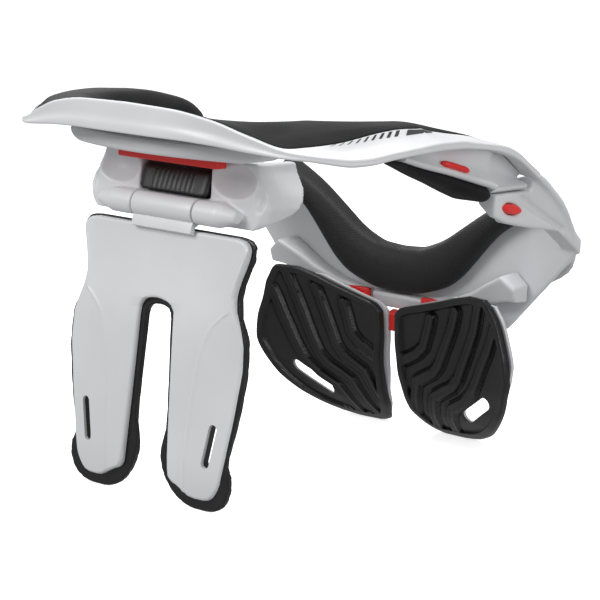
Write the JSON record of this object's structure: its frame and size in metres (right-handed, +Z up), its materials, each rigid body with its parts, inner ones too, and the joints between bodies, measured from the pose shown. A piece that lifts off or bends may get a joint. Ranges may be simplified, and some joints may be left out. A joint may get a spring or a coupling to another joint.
{
  "type": "motocross neck brace",
  "caption": "Moulded neck brace in a rear and a front half with a padded helmet table, forked back fin, padded neckline and ribbed chest pads.",
  "frame": {"origin": "on the floor under the middle of the brace, as it stands on its fin tips and chest pads", "axes": "+X to the wearer's right, +Y to the wearer's front, +Z up"},
  "size_m": [0.272, 0.327, 0.23],
  "materials": {
    "white_shell": "satin moulded plastic",
    "black_foam": "cloth-covered foam",
    "black_rubber": "matte moulded rubber",
    "red_lock": "satin",
    "steel_pin": "brushed"
  },
  "bodies": {
    "rear": {"rear_table": "white_shell", "rear_pad": "black_foam", "slide_plate": "white_shell", "rear_yoke": "white_shell", "fin_hinge_pin": "steel_pin", "fin_stop": "black_rubber", "side_arm_right": "white_shell", "side_arm_left": "white_shell", "side_pad_right": "black_foam", "side_pad_left": "black_foam", "front_hinge_pin": "steel_pin"},
    "lock": {"lock_bar": "red_lock"},
    "fin": {"fin_plate": "white_shell", "fin_rubber": "black_rubber"},
    "front": {"front_shell": "white_shell", "neckline_pad": "black_foam", "chest_pad_right": "black_rubber", "chest_pad_left": "black_rubber", "chest_plate_right": "white_shell", "chest_plate_left": "white_shell", "chest_arm_right": "white_shell", "chest_arm_left": "white_shell", "chest_lock_right": "red_lock", "chest_lock_left": "red_lock", "centre_link": "white_shell", "centre_lock": "red_lock"},
    "button_right": {"release_button_right": "red_lock"},
    "button_left": {"release_button_left": "red_lock"}
  },
  "joints": [
    {"name": "front_swing", "type": "hinge", "parent": "rear", "child": "front", "pos_m": [-0.1326, 0.0207, 0.172], "axis": [0, 0, 1], "range_deg": [0, 60]},
    {"name": "fin_fold", "type": "hinge", "parent": "rear", "child": "fin", "pos_m": [0, -0.1225, 0.1686], "axis": [1, 0, 0], "range_deg": [0, 45]},
    {"name": "lock_slide", "type": "slide", "parent": "rear", "child": "lock", "axis": [1, 0, 0], "range_m": [0, 0.005]},
    {"name": "button_press_right", "type": "slide", "parent": "front", "child": "button_right", "axis": [-1, 0, 0], "range_m": [0, 0.002]},
    {"name": "button_press_left", "type": "slide", "parent": "front", "child": "button_left", "axis": [1, 0, 0], "range_m": [0, 0.002]}
  ]
}
